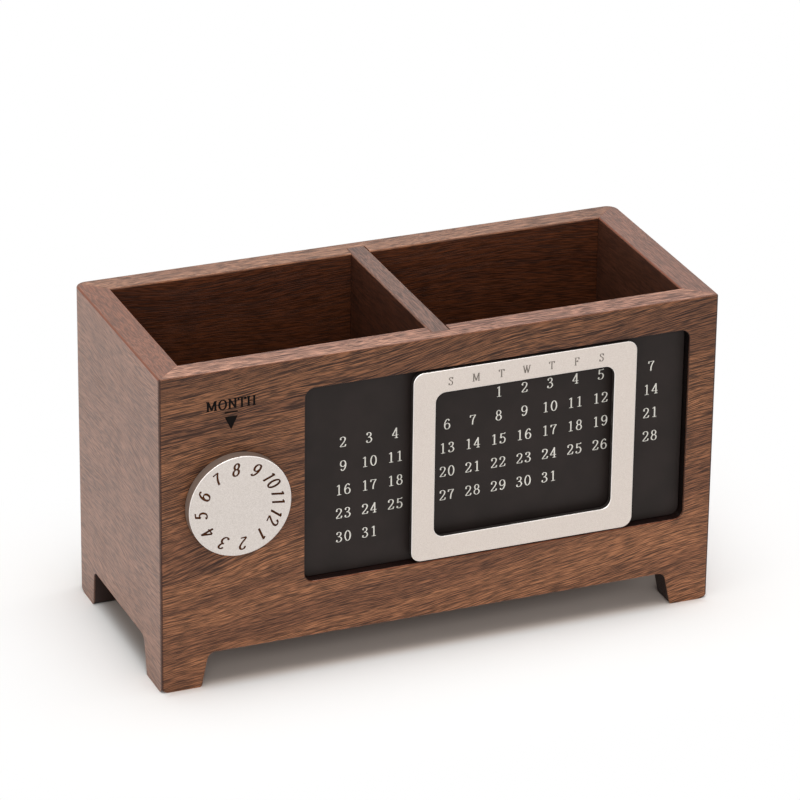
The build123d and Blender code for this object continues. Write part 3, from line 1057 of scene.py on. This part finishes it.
def month_label():
    """The word, the bar and the pointer above the dial."""
    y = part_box("front_panel")[0].y
    mesh = bmesh.new()
    set_word(
        mesh, "MONTH", facing_matrix(LABEL_X, y, LABEL_Z), LABEL_HEIGHT, LABEL_SPACING,
        weight=LABEL_WEIGHT, evenness=LABEL_EVENNESS, widening=LABEL_WIDENING,
    )
    bar_x, bar_z = (size / 2 for size in POINTER_BAR)
    bar = [(-bar_x, -bar_z), (bar_x, -bar_z), (bar_x, bar_z), (-bar_x, bar_z)]
    set_patch(mesh, facing_matrix(LABEL_X, y, POINTER_BAR_Z), bar)
    wide, high = POINTER_SIZE
    pointer = [(0.0, -high), (wide / 2, 0.0), (-wide / 2, 0.0)]
    set_patch(mesh, facing_matrix(LABEL_X, y, POINTER_TOP_Z), pointer)
    thicken(mesh, INK_THICKNESS, INK_SUNK)
    label = object_from(mesh, "month_label", materials["label_ink"])
    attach(label, "case")


def engrave(name, body, mesh, fill):
    """Cuts drawings that lie in a node's front face into it.  The cut shows the fill's material."""
    thicken(mesh, ENGRAVING_DEPTH, ENGRAVING_DEPTH)
    cutter = object_from(mesh, name + "_cutter", fill)
    cutter.hide_render = True
    cutter.hide_viewport = True
    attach(cutter, body)
    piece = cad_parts[name]
    weld = piece.modifiers.new("joined corners", "WELD")
    weld.merge_threshold = WELD_GAP
    cut = piece.modifiers.new("engraving", "BOOLEAN")
    cut.operation = "DIFFERENCE"
    cut.solver = "EXACT"
    cut.object = cutter
    cut.material_mode = "TRANSFER"
    sharp = piece.modifiers.new("sharp corners", "EDGE_SPLIT")
    sharp.split_angle = SHARP_CORNER


def engraved_weekdays():
    low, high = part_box("slider_frame")
    magnet_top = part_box("slider_magnet_top")
    middle_x = (low.x + high.x) / 2 + WEEKDAYS_RIGHT_OF_MIDDLE
    z = (magnet_top[0].z + magnet_top[1].z) / 2 - WEEKDAYS_BELOW_RAIL_MIDDLE
    mesh = bmesh.new()
    for index, letter in enumerate(WEEKDAYS):
        x = middle_x + (index - (len(WEEKDAYS) - 1) / 2) * WEEKDAY_PITCH
        place = facing_matrix(x, low.y, z)
        set_word(mesh, letter, place, WEEKDAY_HEIGHT, 0.0, weight=WEEKDAY_WEIGHT)
    engrave("slider_frame", "slider", mesh, materials["weekday_fill"])


def engraved_months():
    low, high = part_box("month_dial")
    middle = (low + high) / 2
    mesh = bmesh.new()
    for month in range(1, MONTHS + 1):
        turn = DIAL_TURN + 2 * math.pi * (month - MONTH_AT_TOP) / MONTHS
        x = middle.x + DIAL_PRINT_SHIFT[0] + MONTH_RADIUS * math.sin(turn)
        z = middle.z + DIAL_PRINT_SHIFT[1] + MONTH_RADIUS * math.cos(turn)
        place = facing_matrix(x, low.y, z, turn)
        set_word(
            mesh, str(month), place, MONTH_HEIGHT, MONTH_SPACING,
            weight=MONTH_WEIGHT, evenness=MONTH_EVENNESS, slant=MONTH_SLANT, widening=MONTH_WIDENING,
            plain=True,
        )
    engrave("month_dial", "dial", mesh, materials["month_fill"])


finish_nodes()
printed_dates()
month_label()
engraved_weekdays()
engraved_months()

# ---------------------------------------------------------------- studio

# the floor reaches this far, and lies a hair below the feet so that the two don't share a plane
FLOOR_HALF = 3.0
FLOOR_DROP = 0.03 * MM
FLOOR_PAINT = colour(252, 250, 248)
FLOOR_ROUGHNESS = 0.9

# a shadow is painted on the floor under the piece, and the floor turns plain white within a reach
# of FLOOR_FADE round it
PAINTED_CONTACT_SHADOW = colour(214, 201, 192)
CONTACT_EDGE = (-0.006, 0.0)
CONTACT_LOW = (cad_box[0][0], cad_box[0][1], -1.0)
CONTACT_HIGH = (cad_box[1][0], cad_box[1][1], 1.0)
FLOOR_FADE = 0.060
FLOOR_FADE_CURVE = 0.6

STUDIO_LEVEL = 0.32
STUDIO_COLOUR = (1.0, 0.985, 0.97, 1.0)
SOFTBOX_AIM = (0.0, 0.0, 0.05)

# place, side and watts
SOFTBOXES = {
    "overhead_softbox": ((-0.02, -0.05, 1.25), 0.9, 9.5),
    "front_softbox": ((-0.35, -1.35, 0.70), 1.0, 9.0),
    "right_softbox": ((1.20, 0.10, 0.60), 0.8, 3.5),
    "left_softbox": ((-1.20, -0.10, 0.40), 0.8, 2.5),
}


def studio_floor():
    """A pale floor with a shadow painted under the piece, over the one that the lamps cast, which goes
    to plain white a little further out."""
    mesh = bmesh.new()
    bmesh.ops.create_grid(mesh, x_segments=1, y_segments=1, size=FLOOR_HALF)
    bmesh.ops.translate(mesh, verts=mesh.verts[:], vec=(0.0, 0.0, -FLOOR_DROP))
    material, tree, shader = new_material("studio_floor")
    place = node(tree, "TexCoord").outputs["Object"]
    past = past_box(tree, place, CONTACT_LOW, CONTACT_HIGH)
    sides = node(tree, "SeparateXYZ", Vector=past).outputs
    # painted shadow under the piece
    under = between(tree, greatest(tree, sides[0], sides[1]), CONTACT_EDGE[1], CONTACT_EDGE[0])
    paint = blend_colours(tree, under, FLOOR_PAINT, PAINTED_CONTACT_SHADOW)
    plug(tree, shader.inputs["Base Color"], paint)
    shader.inputs["Roughness"].default_value = FLOOR_ROUGHNESS
    shader.inputs["Specular IOR Level"].default_value = 0.0

    outside = vector_calc(tree, "MAXIMUM", past)
    reach = node(tree, "VectorMath", {"operation": "LENGTH"}, _0=outside).outputs["Value"]
    far = calc(tree, "MULTIPLY", reach, 1 / FLOOR_FADE, clamp=True)
    far = calc(tree, "POWER", far, FLOOR_FADE_CURVE)
    white = node(tree, "Emission", Strength=1.0).outputs[0]
    share = product(tree, far, looked_at(tree))
    mixed = node(tree, "MixShader", _0=share, _1=shader.outputs[0], _2=white)
    plug(tree, tree.nodes["Material Output"].inputs["Surface"], mixed.outputs[0])
    floor = object_from(mesh, "studio_floor", material)


def studio_light():
    """Even light from all round.  Seen directly or in a reflection, it is plain white."""
    world = bpy.data.worlds.new("studio")
    bpy.context.scene.world = world
    world.use_nodes = True
    tree = world.node_tree
    background = tree.nodes["Background"]
    background.inputs["Color"].default_value = STUDIO_COLOUR
    strength = between(tree, looked_at(tree), 0.0, 1.0, STUDIO_LEVEL, 1.0)
    plug(tree, background.inputs["Strength"], strength)


def softbox(name, place, side, watts):
    lamp = bpy.data.lights.new(name, "AREA")
    lamp.shape = "RECTANGLE"
    lamp.size = side
    lamp.size_y = side
    lamp.energy = watts
    box = bpy.data.objects.new(name, lamp)
    bpy.context.scene.collection.objects.link(box)
    box.location = place
    aim = Vector(SOFTBOX_AIM) - Vector(place)
    box.rotation_euler = aim.to_track_quat("-Z", "Y").to_euler()


studio_floor()
studio_light()
for name, values in SOFTBOXES.items():
    softbox(name, *values)

# ---------------------------------------------------------------- camera

CAMERA_AZIMUTH = math.radians(-22.424)
CAMERA_ELEVATION = math.radians(24.46)
CAMERA_ROLL = math.radians(0.713)
CAMERA_TARGET = (1.086 * MM, 0.35 * MM, 62.388 * MM)
CAMERA_DISTANCE = 1385.807 * MM
CAMERA_CLIP = (0.05, 50.0)
FOCAL_PIXELS = 4793.03
PICTURE_PIXELS = 800
SENSOR_MM = 36.0


def photo_camera():
    back = Vector((
        math.sin(CAMERA_AZIMUTH) * math.cos(CAMERA_ELEVATION),
        -math.cos(CAMERA_AZIMUTH) * math.cos(CAMERA_ELEVATION),
        math.sin(CAMERA_ELEVATION),
    ))
    right = (-back).cross(Vector((0.0, 0.0, 1.0))).normalized()
    up = back.cross(right)
    level = Matrix((right, up, back)).transposed()
    turned = level @ Matrix.Rotation(CAMERA_ROLL, 3, "Z")
    data = bpy.data.cameras.new("photo_camera")
    data.sensor_width = SENSOR_MM
    data.lens = FOCAL_PIXELS / PICTURE_PIXELS * SENSOR_MM
    data.clip_start, data.clip_end = CAMERA_CLIP
    camera = bpy.data.objects.new("photo_camera", data)
    bpy.context.scene.collection.objects.link(camera)
    place = Vector(CAMERA_TARGET) + back * CAMERA_DISTANCE
    camera.matrix_world = Matrix.Translation(place) @ turned.to_4x4()
    bpy.context.scene.camera = camera


photo_camera()
bpy.context.scene.view_settings.view_transform = "Standard"
